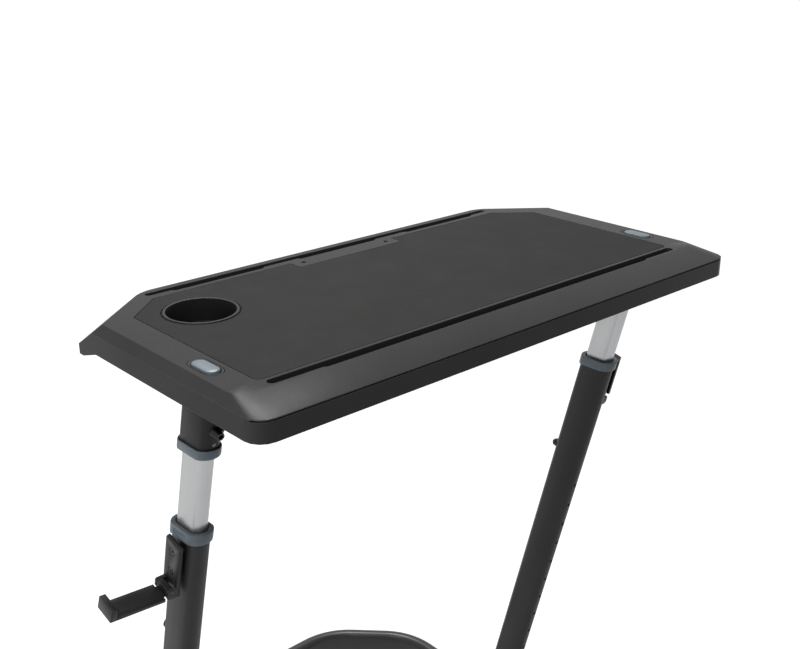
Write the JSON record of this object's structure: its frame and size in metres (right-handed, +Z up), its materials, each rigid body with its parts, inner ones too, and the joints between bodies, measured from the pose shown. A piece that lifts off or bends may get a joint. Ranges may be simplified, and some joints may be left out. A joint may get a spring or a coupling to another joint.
{
  "type": "bike trainer desk",
  "caption": "Height-adjustable desk for an indoor bike trainer, with a matted deck, device slots, bottle well, leaning oval legs, fold-out hooks and a U-shaped floor frame.",
  "frame": {"origin": "on the floor, under the centre of the bounding box", "axes": "+Z up, +Y away from the rider and across the desk, +X to the rider's right along the deck"},
  "size_m": [0.7978, 0.6768, 0.9213],
  "materials": {
    "deck_plastic": "fine matt grain",
    "mat_rubber": "soft matt",
    "dark_plastic": "matt",
    "button_plastic": "satin",
    "collar_plastic": "satin",
    "bright_tube": "clear anodised",
    "dark_paint": "satin powder coat",
    "plated_steel": "dark plated",
    "foot_rubber": "matt"
  },
  "bodies": {
    "base": {"base_frame": "dark_paint", "leg_shoe_left": "dark_plastic", "leg_shoe_right": "dark_plastic", "rail_end_cap_left": "dark_plastic", "rail_end_cap_right": "dark_plastic", "near_foot_left": "foot_rubber", "near_foot_right": "foot_rubber", "far_foot_left": "foot_rubber", "far_foot_right": "foot_rubber", "lower_tube_left": "dark_paint", "lower_tube_right": "dark_paint", "lower_collar_left": "collar_plastic", "lower_collar_right": "collar_plastic", "stop_stud_left": "dark_plastic", "stop_stud_right": "dark_plastic", "hook_bracket_left": "dark_plastic", "hook_bracket_right": "dark_plastic", "hook_spacer_left": "dark_plastic", "hook_spacer_right": "dark_plastic", "hook_pin_left": "plated_steel", "hook_pin_right": "plated_steel", "hook_screw_left_1": "plated_steel", "hook_screw_left_2": "plated_steel", "hook_screw_right_1": "plated_steel", "hook_screw_right_2": "plated_steel"},
    "desk": {"deck_top": "deck_plastic", "deck_mat": "mat_rubber", "cup_well": "dark_plastic", "underside_cover": "dark_plastic", "button_bezel_left": "dark_plastic", "button_bezel_right": "dark_plastic", "button_spring_left": "plated_steel", "button_spring_right": "plated_steel", "sleeve_left": "dark_paint", "sleeve_right": "dark_paint", "clamp_bolt_left": "plated_steel", "clamp_bolt_right": "plated_steel", "upper_collar_left": "collar_plastic", "upper_collar_right": "collar_plastic", "upper_tube_left": "bright_tube", "upper_tube_right": "bright_tube", "tube_plug_left": "dark_plastic", "tube_plug_right": "dark_plastic", "latch_housing_left": "dark_plastic", "latch_housing_right": "dark_plastic"},
    "button_left": {"release_button_left": "button_plastic"},
    "button_right": {"release_button_right": "button_plastic"},
    "rod_left": {"push_rod_left": "plated_steel"},
    "rod_right": {"push_rod_right": "plated_steel"},
    "latch_left": {"latch_pin_left": "plated_steel"},
    "latch_right": {"latch_pin_right": "plated_steel"},
    "snap_left": {"snap_button_left": "collar_plastic"},
    "snap_right": {"snap_button_right": "collar_plastic"},
    "hook_left": {"hook_arm_left": "dark_plastic", "hook_tip_left": "dark_plastic"},
    "hook_right": {"hook_arm_right": "dark_plastic", "hook_tip_right": "dark_plastic"}
  },
  "joints": [
    {"name": "height_slide", "type": "slide", "parent": "base", "child": "desk", "axis": [0, -0.2419, 0.9703], "range_m": [-0.0768, 0.3072]},
    {"name": "button_left_press", "type": "slide", "parent": "desk", "child": "button_left", "axis": [0, 0, -1], "range_m": [0, 0.004], "stiffness_N_per_m": 800, "springref_m": -0.004, "deforming": ["button_spring_left"]},
    {"name": "button_right_press", "type": "slide", "parent": "desk", "child": "button_right", "axis": [0, 0, -1], "range_m": [0, 0.004], "stiffness_N_per_m": 800, "springref_m": -0.004, "deforming": ["button_spring_right"]},
    {"name": "rod_left_slide", "type": "slide", "parent": "desk", "child": "rod_left", "axis": [0, 0.2419, -0.9703], "range_m": [0, 0.00388]},
    {"name": "rod_right_slide", "type": "slide", "parent": "desk", "child": "rod_right", "axis": [0, 0.2419, -0.9703], "range_m": [0, 0.00388]},
    {"name": "latch_left_slide", "type": "slide", "parent": "desk", "child": "latch_left", "axis": [0, 0.9703, 0.2419], "range_m": [0, 0.005]},
    {"name": "latch_right_slide", "type": "slide", "parent": "desk", "child": "latch_right", "axis": [0, 0.9703, 0.2419], "range_m": [0, 0.005]},
    {"name": "snap_left_press", "type": "slide", "parent": "desk", "child": "snap_left", "axis": [0, 0.9703, 0.2419], "range_m": [0, 0.003], "stiffness_N_per_m": 1200, "springref_m": -0.002},
    {"name": "snap_right_press", "type": "slide", "parent": "desk", "child": "snap_right", "axis": [0, 0.9703, 0.2419], "range_m": [0, 0.003], "stiffness_N_per_m": 1200, "springref_m": -0.002},
    {"name": "hook_left_fold", "type": "hinge", "parent": "base", "child": "hook_left", "pos_m": [-0.32777, -0.15497, 0.65957], "axis": [0, 0.9703, 0.2419], "range_deg": [0, 85]},
    {"name": "hook_right_fold", "type": "hinge", "parent": "base", "child": "hook_right", "pos_m": [0.38983, -0.15497, 0.65957], "axis": [0, 0.9703, 0.2419], "range_deg": [0, 85]}
  ],
  "couplings": [
    {"joint": "rod_left_slide", "follows": "button_left_press", "ratio": 0.9703},
    {"joint": "rod_right_slide", "follows": "button_right_press", "ratio": 0.9703},
    {"joint": "latch_left_slide", "follows": "button_left_press", "ratio": 1.25},
    {"joint": "latch_right_slide", "follows": "button_right_press", "ratio": 1.25}
  ]
}
